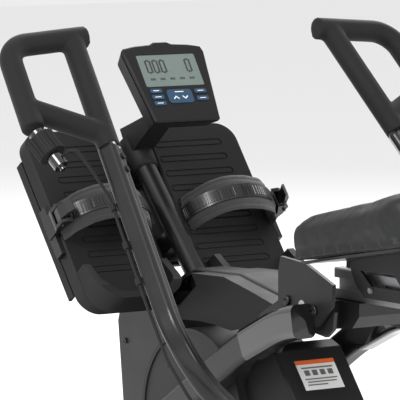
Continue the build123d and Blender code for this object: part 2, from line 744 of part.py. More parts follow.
CABLE_EXIT = Vector(0.527, -0.520, 0.672).normalized()     # square to the knob's axis
cable_start = KNOB_START + KNOB_AXIS * 62 + CABLE_EXIT * 11.4
CABLE_POINTS = (
    cable_start,
    cable_start + CABLE_EXIT * 22,
    Vector(-318, 285, 570),
    beside_arm(90),
    beside_arm(300),
    Vector(-334, 66, 318),
    Vector(-316, 32, 262),
    Vector(-256, 42, 216),
    Vector(-186, 80, 182),
    Vector(-120, 112, 146),
    Vector(-82, 136.0, 137.6),
)
with BuildPart() as cable:
    with BuildLine() as cable_route:
        FilletPolyline(*CABLE_POINTS, radius=(14, 60, 40, 120, 40, 40, 60, 60, 30))
    with BuildSketch(square_to(cable_route.line @ 0, cable_route.line % 0)):
        Circle(2.4)
    sweep(path=cable_route.line)
save(cable, "cable")

with BuildPart() as arm_fittings:
    for distance in (115, 185, 250):
        p = beside_arm(distance)
        with BuildSketch(square_to(p, mirrored(grip_up, -1))):
            Circle(4.6)
            Circle(2.45, mode=Mode.SUBTRACT)
        extrude(amount=12)
    for side in (-1, 1):
        for distance in (22, 46):
            p = mirrored(foam_end - grip_up * distance, side)
            flat = (mirrored(arm_corner, side) - mirrored(foam_end, side)).cross(mirrored(hub_end - arm_corner, side))
            face = flat.normalized() * (-1 if flat.Y > 0 else 1)
            with BuildSketch(square_to(p + face * (ARM_T / 2 + 0.05), face)):
                Circle(5)
            extrude(amount=3)
save(arm_fittings, "arm_fittings")

# ============================ rail, its head and the rear leg ===================================
with BuildPart() as rail:
    with BuildSketch(Plane.XZ.offset(-RAIL_FRONT)):
        with Locations((0, RAIL_Z + RAIL_H / 2)):
            RectangleRounded(RAIL_W, RAIL_H, 3)
        for side in (-1, 1):
            with Locations((side * (RAIL_W / 2 - GROOVE_D / 2 + 0.5), GROOVE_Z)):
                Rectangle(GROOVE_D + 1, GROOVE_H, mode=Mode.SUBTRACT)
        with Locations((0, RAIL_Z + RAIL_H / 2)):
            RectangleRounded(RAIL_W - 2 * GROOVE_D - 6, RAIL_H - 7, 2, mode=Mode.SUBTRACT)
    extrude(amount=RAIL_FRONT - RAIL_BACK)
save(rail, "rail")

with BuildPart() as rail_head:
    for side in (-1, 1):
        with BuildSketch(yz(side * 70 - 3)):
            outline(((112, 352), (116, 372), (108, 392), (92, 400), (60, 396), (36, 388), (26, 372), (30, 346),
                     (46, 334), (80, 338)))
            with Locations((HINGE_Y, HINGE_Z)):
                Circle(HINGE_PIN_R + CLEAR, mode=Mode.SUBTRACT)
        extrude(amount=6)
    with BuildSketch(yz(-67)):
        outline(((52, RAIL_Z), (52, 344), (60, 344), (80, 352), (80, RAIL_Z)))
    extrude(amount=134)
    with BuildSketch(yz(-45)):
        outline(((52, RAIL_Z), (4, RAIL_Z), (4, 366), (20, 348), (52, 344)))
    extrude(amount=90)
    with BuildSketch(yz(-70)):
        with Locations((HINGE_Y, HINGE_Z)):
            Circle(HINGE_PIN_R + CLEAR)
    extrude(amount=140, mode=Mode.SUBTRACT)
save(rail_head, "rail_head")

with BuildPart() as rear_leg:
    with BuildSketch(Plane.XY.offset(50.2)):
        with Locations((0, -640)):
            RectangleRounded(60, 44, 8)
            RectangleRounded(55, 39, 5.5, mode=Mode.SUBTRACT)
    extrude(amount=RAIL_Z - 50.2 - 8)
    with BuildSketch(Plane.XY.offset(RAIL_Z - 8)):
        with Locations((0, -640)):
            RectangleRounded(68, 120, 6)
    extrude(amount=8)
    with BuildSketch(yz(-215)):
        with Locations((-640, FOOT_H + 18)):
            RectangleRounded(50, 36.4, 8)
    extrude(amount=430)
    with BuildSketch(yz(-211)):
        with Locations((-640, FOOT_H + 18)):
            RectangleRounded(45, 31, 5.5)
    extrude(amount=422, mode=Mode.SUBTRACT)
save(rear_leg, "rear_leg")

with BuildPart() as rear_feet:
    for side in (-1, 1):
        with BuildSketch(Plane.XY):
            with Locations((side * 192, -640)):
                RectangleRounded(44, 56, 10)
        extrude(amount=FOOT_H - 0.3)
save(rear_feet, "rear_feet")

with BuildPart() as rail_stops:
    with BuildSketch(Plane.XZ.offset(-RAIL_BACK)):
        with Locations((0, RAIL_Z + RAIL_H / 2)):
            RectangleRounded(RAIL_W + 6, RAIL_H + 6, 5)
    extrude(amount=REAR_Y * -1 + RAIL_BACK)
    for y_mid, height in ((60, 10), (-726, 22)):
        with BuildSketch(Plane.XY.offset(RAIL_Z + RAIL_H)):
            with Locations((0, y_mid)):
                RectangleRounded(44, 20, 5)
        extrude(amount=height)
save(rail_stops, "rail_stops")

# ============================ seat ==============================================================
def seat_under(y):
    """Height of the cushion's underside at y."""
    return SEAT_Z + (SEAT_FRONT - y) * math.tan(math.radians(SEAT_TILT))


seat_plane = Plane(Vector(0, SEAT_FRONT, SEAT_Z), x_dir=(1, 0, 0),
                   z_dir=(0, math.sin(math.radians(SEAT_TILT)), math.cos(math.radians(SEAT_TILT))))
with BuildPart() as cushion:
    with BuildSketch(seat_plane.offset(0.3)):
        with Locations((0, -SEAT_LENGTH / 2)):
            RectangleRounded(SEAT_WIDTH, SEAT_LENGTH, 60)
    extrude(amount=140)
    with BuildSketch(yz(-SEAT_WIDTH / 2 - 1)):
        with BuildLine():
            Spline(*SEAT_TOP)
            Polyline(SEAT_TOP[-1], (SEAT_TOP[-1][0], 400), (SEAT_TOP[0][0], 400), SEAT_TOP[0])
        make_face()
    extrude(amount=SEAT_WIDTH + 2, mode=Mode.INTERSECT)
    fillet(cushion.faces().sort_by(SortBy.AREA)[-2:].sort_by(Axis.Z)[-1].edges(), 20)
    fillet(cushion.faces().sort_by(SortBy.AREA)[-2:].sort_by(Axis.Z)[0].edges(), 8)
save(cushion, "cushion")

with BuildPart() as seat_pan:
    with BuildSketch(seat_plane):
        with Locations((0, -SEAT_LENGTH / 2 + 4)):
            RectangleRounded(SEAT_WIDTH - 56, SEAT_LENGTH - 44, 30)
    extrude(amount=-4)
save(seat_pan, "seat_pan")

CARRIAGE_X = 47.0
with BuildPart() as carriage:
    for side in (-1, 1):
        with BuildSketch(yz(side * CARRIAGE_X - 2.5)):
            outline(((16, seat_under(16) - 4.1), (22, 440), (8, 414), (-14, 396), (-236, 396), (-252, 408),
                     (-262, seat_under(-262) - 4.1)))
            outline(((-4, 434), (-82, 436), (-106, 414), (-30, 414)), Mode.SUBTRACT)
            outline(((-124, 436), (-206, 438), (-186, 414), (-134, 414)), Mode.SUBTRACT)
            with Locations((ROLLER_Y[0], GROOVE_Z), (ROLLER_Y[1], GROOVE_Z)):
                Circle(4 + CLEAR, mode=Mode.SUBTRACT)
        extrude(amount=5)
    for y_mid in (ROLLER_Y[0] - 30, ROLLER_Y[1] + 30):
        with BuildSketch(yz(-CARRIAGE_X)):
            with Locations((y_mid, RAIL_Z + RAIL_H + ROLLER_R + 0.2)):
                Circle(4)
        extrude(amount=2 * CARRIAGE_X)
save(carriage, "carriage")

for index, y_mid in enumerate(ROLLER_Y, start=1):
    with BuildPart() as groove_rollers:
        for side in (-1, 1):
            with BuildSketch(yz(side * 31.5 - 3.5)):
                with Locations((y_mid, GROOVE_Z)):
                    Circle(GROOVE_H / 2 - 0.2)
            extrude(amount=7)
            with BuildSketch(yz(side * 42.5 - 10.5)):
                with Locations((y_mid, GROOVE_Z)):
                    Circle(4)
            extrude(amount=21)
    save(groove_rollers, f"groove_rollers_{index}")

for index, y_mid in enumerate((ROLLER_Y[0] - 30, ROLLER_Y[1] + 30), start=1):
    with BuildPart() as top_roller:
        with BuildSketch(yz(-24)):
            with Locations((y_mid, RAIL_Z + RAIL_H + ROLLER_R + 0.2)):
                Circle(ROLLER_R)
                Circle(4 + CLEAR, mode=Mode.SUBTRACT)
        extrude(amount=48)
    save(top_roller, f"top_roller_{index}")
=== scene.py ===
"""Looks of the rowing machine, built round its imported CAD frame."""

import json
import math

import bpy
import numpy as np
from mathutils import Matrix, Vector


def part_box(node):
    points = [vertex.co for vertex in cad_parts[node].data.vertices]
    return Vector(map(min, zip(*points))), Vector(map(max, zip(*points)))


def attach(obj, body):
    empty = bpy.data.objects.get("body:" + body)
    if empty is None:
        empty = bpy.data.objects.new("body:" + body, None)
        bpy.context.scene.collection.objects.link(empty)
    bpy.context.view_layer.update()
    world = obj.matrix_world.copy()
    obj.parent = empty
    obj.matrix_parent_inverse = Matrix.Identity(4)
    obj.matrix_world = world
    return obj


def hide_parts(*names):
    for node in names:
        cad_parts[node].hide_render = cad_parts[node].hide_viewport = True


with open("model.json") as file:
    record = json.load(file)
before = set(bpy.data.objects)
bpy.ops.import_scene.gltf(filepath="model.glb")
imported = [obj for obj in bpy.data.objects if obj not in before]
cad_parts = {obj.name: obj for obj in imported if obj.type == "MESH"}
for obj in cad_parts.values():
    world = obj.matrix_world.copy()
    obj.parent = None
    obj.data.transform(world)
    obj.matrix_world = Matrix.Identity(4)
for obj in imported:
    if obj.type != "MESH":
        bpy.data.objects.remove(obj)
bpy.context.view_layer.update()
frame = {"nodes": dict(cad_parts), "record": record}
NODES = frame["nodes"]
RECORD = frame["record"]
MM = 0.001

# ---- camera --------------------------------------------------------------------------------------
AZIMUTH, ELEVATION = math.radians(-34.4), math.radians(5.7)
DISTANCE = 6.141
LENS = 353.8
PLATE_CENTRE = np.array([0.0, 0.620, 0.520])
LOOK_RIGHT, LOOK_UP = 0.0830, -0.0386


def place_camera():
    """Camera on a long lens, from behind the seat on its left, a little above the rail."""
    back = np.array([math.sin(AZIMUTH) * math.cos(ELEVATION), -math.cos(AZIMUTH) * math.cos(ELEVATION),
                     math.sin(ELEVATION)])
    right = np.array([math.cos(AZIMUTH), math.sin(AZIMUTH), 0.0])
    up = np.cross(back, right)
    target = PLATE_CENTRE + LOOK_RIGHT * right + LOOK_UP * up
    data = bpy.data.cameras.new("camera")
    data.lens = LENS
    data.sensor_width = 36.0
    data.clip_end = 60.0
    camera = bpy.data.objects.new("camera", data)
    bpy.context.scene.collection.objects.link(camera)
    camera.location = Vector(target + back * DISTANCE)
    camera.rotation_euler = Vector(-back).to_track_quat("-Z", "Y").to_euler()
    bpy.context.scene.camera = camera


place_camera()


# ---- studio --------------------------------------------------------------------------------------
LIGHT_TARGET = (0, 0.2, 0.4)
FLOOR_HALF = 14
SKY_STRENGTH = 0.85


def area_light(name, place, size, power):
    """Soft rectangular lamp of a size (m) and power (W), turned towards the machine."""
    data = bpy.data.lights.new(name, "AREA")
    data.shape = "RECTANGLE"
    data.size, data.size_y = size
    data.energy = power
    lamp = bpy.data.objects.new(name, data)
    lamp.location = place
    lamp.rotation_euler = (Vector(LIGHT_TARGET) - Vector(place)).to_track_quat("-Z", "Y").to_euler()
    bpy.context.scene.collection.objects.link(lamp)


def plain_material(name, colour, roughness):
    """Material of one even colour."""
    mat = bpy.data.materials.new(name)
    mat.use_nodes = True
    shader = mat.node_tree.nodes["Principled BSDF"]
    shader.inputs["Base Color"].default_value = (*colour, 1.0)
    shader.inputs["Roughness"].default_value = roughness
    return mat


def studio():
    """Wide pale floor, a white sky and three soft lights."""
    mesh = bpy.data.meshes.new("floor")
    corners = [(x * FLOOR_HALF, y * FLOOR_HALF, 0) for x, y in ((-1, -1), (1, -1), (1, 1), (-1, 1))]
    mesh.from_pydata(corners, [], [(0, 1, 2, 3)])
    floor = bpy.data.objects.new("floor", mesh)
    bpy.context.scene.collection.objects.link(floor)
    mesh.materials.append(plain_material("floor", (0.93, 0.93, 0.93), 0.9))
    world = bpy.data.worlds.new("studio")
    world.use_nodes = True
    world.node_tree.nodes["Background"].inputs["Color"].default_value = (1, 1, 1, 1)
    world.node_tree.nodes["Background"].inputs["Strength"].default_value = SKY_STRENGTH
    bpy.context.scene.world = world
    bpy.context.scene.view_settings.view_transform = "Standard"
    area_light("key", (-3.2, -1.2, 3.6), (1.8, 1.8), 150)
    area_light("fill", (0.8, -4.2, 2.0), (2.4, 1.6), 60)
    area_light("rim", (2.6, 3.0, 3.2), (2.0, 1.4), 90)


studio()


# ---- materials -----------------------------------------------------------------------------------
def new_group(name, sockets_in, sockets_out):
    """Shader node group with named inputs (label, kind, default) and outputs (label, kind)."""
    group = bpy.data.node_groups.new(name, "ShaderNodeTree")
    for label, kind, default in sockets_in:
        item = group.interface.new_socket(label, in_out="INPUT", socket_type=kind)
        if default is not None:
            item.default_value = default
    for label, kind in sockets_out:
        group.interface.new_socket(label, in_out="OUTPUT", socket_type=kind)
    return group, group.nodes.new("NodeGroupInput"), group.nodes.new("NodeGroupOutput")


def texture_group():
    """Fine bump and soft colour variation from two noise scales on object coordinates."""
    group, inp, out = new_group(
        "moulded_texture",
        (("Vector", "NodeSocketVector", None), ("Colour", "NodeSocketColor", (0.05, 0.05, 0.05, 1)),
         ("Grain Scale", "NodeSocketFloat", 900.0), ("Grain Height", "NodeSocketFloat", 0.2),
         ("Variation", "NodeSocketFloat", 0.25), ("Roughness", "NodeSocketFloat", 0.5)),
        (("Colour", "NodeSocketColor"), ("Roughness", "NodeSocketFloat"), ("Normal", "NodeSocketVector")))
    node, link = group.nodes.new, group.links.new
    grain = node("ShaderNodeTexNoise")
    grain.inputs["Detail"].default_value = 3.0
    link(inp.outputs["Vector"], grain.inputs["Vector"])
    link(inp.outputs["Grain Scale"], grain.inputs["Scale"])
    cloud = node("ShaderNodeTexNoise")
    cloud.inputs["Scale"].default_value = 14.0
    cloud.inputs["Detail"].default_value = 5.0
    link(inp.outputs["Vector"], cloud.inputs["Vector"])
    spread = node("ShaderNodeMapRange")
    spread.inputs["From Min"].default_value = 0.3
    spread.inputs["From Max"].default_value = 0.7
    spread.inputs["To Min"].default_value = -1.0
    spread.inputs["To Max"].default_value = 1.0
    link(cloud.outputs["Fac"], spread.inputs["Value"])
    amount = node("ShaderNodeMath")
    amount.operation = "MULTIPLY_ADD"
    amount.inputs[2].default_value = 1.0
    link(spread.outputs["Result"], amount.inputs[0])
    link(inp.outputs["Variation"], amount.inputs[1])
    tint = node("ShaderNodeVectorMath")
    tint.operation = "SCALE"
    link(inp.outputs["Colour"], tint.inputs[0])
    link(amount.outputs["Value"], tint.inputs["Scale"])
    link(tint.outputs["Vector"], out.inputs["Colour"])
    rough = node("ShaderNodeMath")
    rough.operation = "MULTIPLY_ADD"
    rough.inputs[1].default_value = 0.06
    link(spread.outputs["Result"], rough.inputs[0])
    link(inp.outputs["Roughness"], rough.inputs[2])
    link(rough.outputs["Value"], out.inputs["Roughness"])
    bump = node("ShaderNodeBump")
    bump.inputs["Distance"].default_value = 0.0004
    link(inp.outputs["Grain Height"], bump.inputs["Strength"])
    link(grain.outputs["Fac"], bump.inputs["Height"])
    link(bump.outputs["Normal"], out.inputs["Normal"])
    return group


def weave_group():
    """Two crossed thread waves on object coordinates, multiplied into a height and put out as a normal."""
    group, inp, out = new_group(
        "woven_threads",
        (("Vector", "NodeSocketVector", None), ("Threads", "NodeSocketFloat", 500.0),
         ("Strength", "NodeSocketFloat", 0.5)),
        (("Normal", "NodeSocketVector"),))
    node, link = group.nodes.new, group.links.new
    waves = []
    for direction in ("X", "Z"):
        wave = node("ShaderNodeTexWave")
        wave.bands_direction = direction
        wave.inputs["Distortion"].default_value = 0.6
        link(inp.outputs["Vector"], wave.inputs["Vector"])
        link(inp.outputs["Threads"], wave.inputs["Scale"])
        waves.append(wave)
    mix = node("ShaderNodeMath")
    mix.operation = "MULTIPLY"
    link(waves[0].outputs["Fac"], mix.inputs[0])
    link(waves[1].outputs["Fac"], mix.inputs[1])
    bump = node("ShaderNodeBump")
    bump.inputs["Distance"].default_value = 0.0006
    link(inp.outputs["Strength"], bump.inputs["Strength"])
    link(mix.outputs["Value"], bump.inputs["Height"])
    link(bump.outputs["Normal"], out.inputs["Normal"])
    return group


TEXTURE = texture_group()
WEAVE = weave_group()


def textured(name, colour, roughness, grain, height, variation,
             metallic=0.0, coat=0.0, sheen=0.0, specular=0.5):
    """Material whose colour, roughness and normal come from the shared moulded texture."""
    mat = bpy.data.materials.new(name)
    mat.use_nodes = True
    tree = mat.node_tree
    shader = tree.nodes["Principled BSDF"]
    coords = tree.nodes.new("ShaderNodeTexCoord")
    group = tree.nodes.new("ShaderNodeGroup")
    group.node_tree = TEXTURE
    group.inputs["Colour"].default_value = (*colour, 1.0)
    group.inputs["Grain Scale"].default_value = grain
    group.inputs["Grain Height"].default_value = height
    group.inputs["Variation"].default_value = variation
    group.inputs["Roughness"].default_value = roughness
    tree.links.new(coords.outputs["Object"], group.inputs["Vector"])
    tree.links.new(group.outputs["Colour"], shader.inputs["Base Color"])
    tree.links.new(group.outputs["Roughness"], shader.inputs["Roughness"])
    tree.links.new(group.outputs["Normal"], shader.inputs["Normal"])
    shader.inputs["Metallic"].default_value = metallic
    shader.inputs["Coat Weight"].default_value = coat
    shader.inputs["Sheen Weight"].default_value = sheen
    shader.inputs["Specular IOR Level"].default_value = specular
    return mat


# Colour, roughness, grain scale, grain height and variation of each finish, and what it has besides.
FINISHES = {
    "steel_black": ((0.0075, 0.0078, 0.0088), 0.34, 1300, 0.25, 0.12, dict(coat=0.25, specular=0.3)),
    "tube_grey": ((0.0125, 0.0128, 0.0132), 0.36, 1300, 0.25, 0.12, dict(coat=0.25, specular=0.3)),
    "hinge_grey": ((0.0150, 0.0150, 0.0145), 0.45, 1200, 0.3, 0.12, dict(specular=0.3)),
    "plastic_black": ((0.0105, 0.0105, 0.0115), 0.56, 1100, 0.35, 0.15, dict(specular=0.22)),
    "plastic_charcoal": ((0.0190, 0.0195, 0.0200), 0.5, 1100, 0.35, 0.15, dict()),
    "disc_grey": ((0.0200, 0.0205, 0.0210), 0.5, 1000, 0.25, 0.10, dict(specular=0.3)),
    "gloss_black": ((0.0070, 0.0070, 0.0080), 0.14, 500, 0.05, 0.1, dict(coat=1.0)),
    "rubber": ((0.009, 0.009, 0.009), 0.62, 700, 0.4, 0.2, dict(specular=0.25)),
    "foam": ((0.0060, 0.0060, 0.0066), 0.74, 620, 0.9, 0.25, dict(sheen=0.06, specular=0.3)),
    "strap_plastic": ((0.0090, 0.0090, 0.0100), 0.36, 900, 0.15, 0.15, dict(coat=0.2)),
    "zinc": ((0.42, 0.42, 0.43), 0.33, 600, 0.15, 0.15, dict(metallic=1.0)),
    "cast": ((0.16, 0.16, 0.16), 0.5, 400, 0.6, 0.25, dict(metallic=0.8)),
    "aluminium": ((0.30, 0.30, 0.31), 0.36, 800, 0.12, 0.08, dict(metallic=0.9)),
    "blue": ((0.0060, 0.0420, 0.0920), 0.38, 900, 0.1, 0.1, dict(coat=0.2)),
    "roller_grey": ((0.2, 0.2, 0.2), 0.45, 500, 0.2, 0.1, dict()),
    "panel_grey": ((0.020, 0.0205, 0.021), 0.58, 1000, 0.25, 0.10, dict(specular=0.22)),
    "print_white": ((0.75, 0.75, 0.74), 0.45, 300, 0.05, 0.04, dict()),
    "print_orange": ((0.72, 0.13, 0.02), 0.45, 300, 0.05, 0.06, dict()),
    "print_grey": ((0.12, 0.12, 0.12), 0.5, 300, 0.05, 0.04, dict()),
    "lcd_green": ((0.1250, 0.1600, 0.1460), 0.28, 200, 0.02, 0.05, dict(coat=0.6)),
    "lcd_dark": ((0.012, 0.016, 0.015), 0.35, 200, 0.02, 0.05, dict(coat=0.6)),
}
MAT = {name: textured(name, *values, **extra) for name, (*values, extra) in FINISHES.items()}


def fabric_material(name, colour, roughness, threads, strength, sheen):
    """Fabric: the weave's normal over a varied colour."""
    mat = textured(name, colour, roughness, 500, 0.3, 0.3, sheen=sheen)
    tree = mat.node_tree
    shader = tree.nodes["Principled BSDF"]
    coords = next(n for n in tree.nodes if n.type == "TEX_COORD")
    group = tree.nodes.new("ShaderNodeGroup")
    group.node_tree = WEAVE
    group.inputs["Threads"].default_value = threads
    group.inputs["Strength"].default_value = strength
    tree.links.new(coords.outputs["Object"], group.inputs["Vector"])
    tree.links.new(group.outputs["Normal"], shader.inputs["Normal"])
    return mat


def vinyl_material():
    """Grained upholstery vinyl: cell grain over soft creases."""
    mat = textured("vinyl", (0.0125, 0.0128, 0.0135), 0.5, 500, 0.3, 0.18, specular=0.3)
    tree = mat.node_tree
    shader = tree.nodes["Principled BSDF"]
    coords = next(n for n in tree.nodes if n.type == "TEX_COORD")
    cells = tree.nodes.new("ShaderNodeTexVoronoi")
    cells.inputs["Scale"].default_value = 620.0
    cells.feature = "DISTANCE_TO_EDGE"
    tree.links.new(coords.outputs["Object"], cells.inputs["Vector"])
    folds = tree.nodes.new("ShaderNodeTexNoise")
    folds.inputs["Scale"].default_value = 38.0
    folds.inputs["Detail"].default_value = 2.0
    tree.links.new(coords.outputs["Object"], folds.inputs["Vector"])
    coarse = tree.nodes.new("ShaderNodeBump")
    coarse.inputs["Strength"].default_value = 0.35
    coarse.inputs["Distance"].default_value = 0.002
    tree.links.new(folds.outputs["Fac"], coarse.inputs["Height"])
    fine = tree.nodes.new("ShaderNodeBump")
    fine.inputs["Strength"].default_value = 0.35
    fine.inputs["Distance"].default_value = 0.0005
    tree.links.new(cells.outputs["Distance"], fine.inputs["Height"])
    tree.links.new(coarse.outputs["Normal"], fine.inputs["Normal"])
    tree.links.new(fine.outputs["Normal"], shader.inputs["Normal"])
    return mat


MAT["vinyl"] = vinyl_material()
MAT["strap_fabric"] = fabric_material("strap_fabric", (0.016, 0.016, 0.017), 0.72, 420, 0.6, 0.3)
MAT["lens"] = MAT["lcd_green"]
MAT["buckle_metal"] = textured("buckle_metal", (0.055, 0.055, 0.058), 0.34, 500, 0.15, 0.15, metallic=0.9)

NODE_FINISH = {part["node"]: part["material_slot"] for part in RECORD["subparts"]}
NODE_FINISH["buckle_bases"] = "buckle_metal"
for node_name, node_object in NODES.items():
    node_object.data.materials.clear()
    node_object.data.materials.append(MAT[NODE_FINISH[node_name]])


# ---- mesh helpers --------------------------------------------------------------------------------
def piece(name, verts, faces, material, body, slot=None, smooth=True, instead_of=()):
    """New object from arrays, riding on a body."""
    mesh = bpy.data.meshes.new(name)
    corners = [tuple(v) for v in np.asarray(verts, float)]
    mesh.from_pydata(corners, [], [tuple(int(i) for i in f) for f in faces])
    mesh.update()
    mesh.materials.append(MAT[material])
    if smooth:
        mesh.shade_smooth()
    obj = bpy.data.objects.new(name, mesh)
    bpy.context.scene.collection.objects.link(obj)
    if body:
        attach(obj, body)
    if instead_of:
        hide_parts(*instead_of)
    return obj


def grid_faces(rows, cols, close_rows=False, close_cols=False, start=0):
    """Quads of a rows x cols grid of points, wrapping where asked."""
    i = np.arange(rows if close_rows else rows - 1)[:, None]
    j = np.arange(cols if close_cols else cols - 1)[None, :]
    a = i * cols + j
    b = i * cols + (j + 1) % cols
    c = ((i + 1) % rows) * cols + (j + 1) % cols
    d = ((i + 1) % rows) * cols + j
    return (np.stack([a, b, c, d], -1).reshape(-1, 4) + start).tolist()


def closed_tube(rings, start=0):
    """Faces of a stack of closed rings with a fan at each end; rings is rows x cols x 3."""
    rows, cols, _ = rings.shape
    points = np.concatenate([rings.reshape(-1, 3), [rings[0].mean(0)], [rings[-1].mean(0)]])
    faces = grid_faces(rows, cols, close_cols=True)
    first, last = rows * cols, rows * cols + 1
    faces += [[first, (k + 1) % cols, k] for k in range(cols)]
    base = (rows - 1) * cols
    faces += [[last, base + k, base + (k + 1) % cols] for k in range(cols)]
    return points, [[i + start for i in f] for f in faces]


def merge(parts):
    """Join (points, faces) pairs into one mesh."""
    points, faces, count = [], [], 0
    for p, f in parts:
        points.append(np.asarray(p, float))
        faces += [[i + count for i in face] for face in f]
        count += len(p)
    return np.concatenate(points), faces


def filleted(points, radius, step=0.004):
    """Straight runs joined by tangent arcs: each corner is replaced by an arc of its radius."""
    points = [np.array(p, float) for p in points]
    radii = [radius] * (len(points) - 2) if np.isscalar(radius) else radius
    out = [points[0]]
    for k in range(1, len(points) - 1):
        into = points[k] - points[k - 1]
        away = points[k + 1] - points[k]
        into, away = into / np.linalg.norm(into), away / np.linalg.norm(away)
        turn = math.acos(np.clip(into @ away, -1, 1))
        reach = radii[k - 1] * math.tan(turn / 2)
        centre = points[k] + (away - into) / np.linalg.norm(away - into) * radii[k - 1] / math.cos(turn / 2)
        first = points[k] - into * reach
        arm = first - centre
        side = into * radii[k - 1]
        count = max(3, int(radii[k - 1] * turn / step))
        angles = np.linspace(0, turn, count)[:, None]
        out += list(centre + arm * np.cos(angles) + side * np.sin(angles))
    out.append(points[-1])
    return np.array(out)


def resampled(path, step):
    """Points at even spacing along a polyline."""
    length = np.concatenate([[0], np.cumsum(np.linalg.norm(np.diff(path, axis=0), axis=1))])
    at = np.linspace(0, length[-1], max(2, int(length[-1] / step)))
    return np.stack([np.interp(at, length, path[:, k]) for k in range(3)], 1)


def frames_along(path, side):
    """Tangent, side and normal at each point; side stays square to the tangent."""
    tangent = np.gradient(path, axis=0)
    tangent /= np.linalg.norm(tangent, axis=1)[:, None]
    side = np.broadcast_to(np.asarray(side, float), path.shape)
    side = side - (side * tangent).sum(1)[:, None] * tangent
    side /= np.linalg.norm(side, axis=1)[:, None]
    return tangent, side, np.cross(tangent, side)


def swept(path, side, section):
    """Rings: path + a side + b normal for each (a, b) of a closed section."""
    _, right, up = frames_along(path, side)
    a, b = section[:, 0], section[:, 1]
    return path[:, None] + right[:, None] * a[None, :, None] + up[:, None] * b[None, :, None]


def round_section(radius, count):
    """Circle of a radius as a closed section."""
    t = np.linspace(0, 2 * np.pi, count, endpoint=False)
    return np.stack([np.cos(t), np.sin(t)], 1) * radius


# ---- places that repeat the CAD dimensions -------------------------------------------------------
PLATE_TILT = math.radians(52.2)
SLOPE = np.array([0.0, math.cos(PLATE_TILT), math.sin(PLATE_TILT)])
NORMAL = np.array([0.0, -math.sin(PLATE_TILT), math.cos(PLATE_TILT)])
CONSOLE_TILT = math.radians(55.8)
CONSOLE_ORIGIN = np.array([0.0, 0.538, 0.665])
CONSOLE_UP = np.array([0.0, math.cos(CONSOLE_TILT), math.sin(CONSOLE_TILT)])
CONSOLE_OUT = np.array([0.0, -math.sin(CONSOLE_TILT), math.cos(CONSOLE_TILT)])
X_AXIS = np.array([1.0, 0.0, 0.0])

FOAM_END = np.array([264.3, 321.0, 595.0]) * MM
GRIP_TOP = np.array([237.8, 465.9, 748.6]) * MM
ARM_HUB = np.array([88.0, 150.0, 160.0]) * MM
GRIP_UP = (GRIP_TOP - FOAM_END) / np.linalg.norm(GRIP_TOP - FOAM_END)
GRIP_LENGTH = np.linalg.norm(GRIP_TOP - FOAM_END)
ARM_CORNER = FOAM_END - GRIP_UP * 0.402
GRIP_R, GRIP_WIDTH, OUTER_END = 0.017, 0.115, 0.052


def mirrored(point, side):
    """The point on the machine's left (side -1) or right (side 1)."""
    return np.array([side * point[0], point[1], point[2]])


def plate_grid(x, up, out):
    """Points x across, up the slope and out from the foot plates' plane, for whole arrays."""
    return (PLATE_CENTRE + np.asarray(x)[..., None] * X_AXIS + np.asarray(up)[..., None] * SLOPE
            + np.asarray(out)[..., None] * NORMAL)


def on_console(x, up, out):
    """Point x across, up and out from the console's face."""
    return CONSOLE_ORIGIN + X_AXIS * x + CONSOLE_UP * up + CONSOLE_OUT * out


def baked(obj):
    """The object's mesh with its modifiers applied and none left on it."""
    depsgraph = bpy.context.evaluated_depsgraph_get()
    mesh = bpy.data.meshes.new_from_object(obj.evaluated_get(depsgraph))
    obj.modifiers.clear()
    obj.data = mesh
    mesh.shade_smooth()


def remeshed(obj, voxel, smoothing=0):
    """Voxel remesh, with optional smoothing, applied."""
    remesh = obj.modifiers.new("Remesh", "REMESH")
    remesh.mode = "VOXEL"
    remesh.voxel_size = voxel
    if smoothing:
        smooth = obj.modifiers.new("Smooth", "SMOOTH")
        smooth.factor = 0.5
        smooth.iterations = smoothing
    baked(obj)


def coords(obj):
    """The mesh's points as rows of an array."""
    out = np.empty(len(obj.data.vertices) * 3)
    obj.data.vertices.foreach_get("co", out)
    return out.reshape(-1, 3)


def set_coords(obj, points):
    """Move the mesh's points to the rows of an array."""
    obj.data.vertices.foreach_set("co", np.ascontiguousarray(points).ravel())
    obj.data.update()


def box_part(centre, axes, sizes):
    """Eight corners and six faces of a box along three unit axes."""
    signs = np.array([[i, j, k] for i in (-1, 1) for j in (-1, 1) for k in (-1, 1)], float) / 2
    points = np.asarray(centre) + (signs * np.asarray(sizes)) @ np.stack(axes)
    faces = [[0, 1, 3, 2], [4, 6, 7, 5], [0, 4, 5, 1], [2, 3, 7, 6], [0, 2, 6, 4], [1, 5, 7, 3]]
    return points, faces


def disc_part(centre, axis, radii, heights, count=28):
    """Turned form: radius radii[k] at height heights[k] along the axis."""
    axis = np.asarray(axis, float) / np.linalg.norm(axis)
    helper = X_AXIS if abs(axis[0]) < 0.8 else np.array([0.0, 1.0, 0.0])
    first = np.cross(axis, helper)
    first /= np.linalg.norm(first)
    second = np.cross(axis, first)
    t = np.linspace(0, 2 * np.pi, count, endpoint=False)
    ring = np.cos(t)[:, None] * first + np.sin(t)[:, None] * second
    rings = np.stack([np.asarray(centre) + axis * h + ring * r for r, h in zip(radii, heights)])
    return closed_tube(rings)


# ---- seat cushion --------------------------------------------------------------------------------
CLOTH_FRAMES = 20
SEAT_TILT = math.radians(9.9)
SEAT_HALF_WIDTH, SEAT_HALF_LENGTH = 0.168, 0.160
SEAM_HEIGHT, SEAM_DEPTH, SEAM_WIDTH = 0.014, 0.0016, 0.0026
CREASES = ((-0.085, 0.9), (-0.118, 1.2), (-0.215, -0.7))     # Y of each and its lean per unit of height


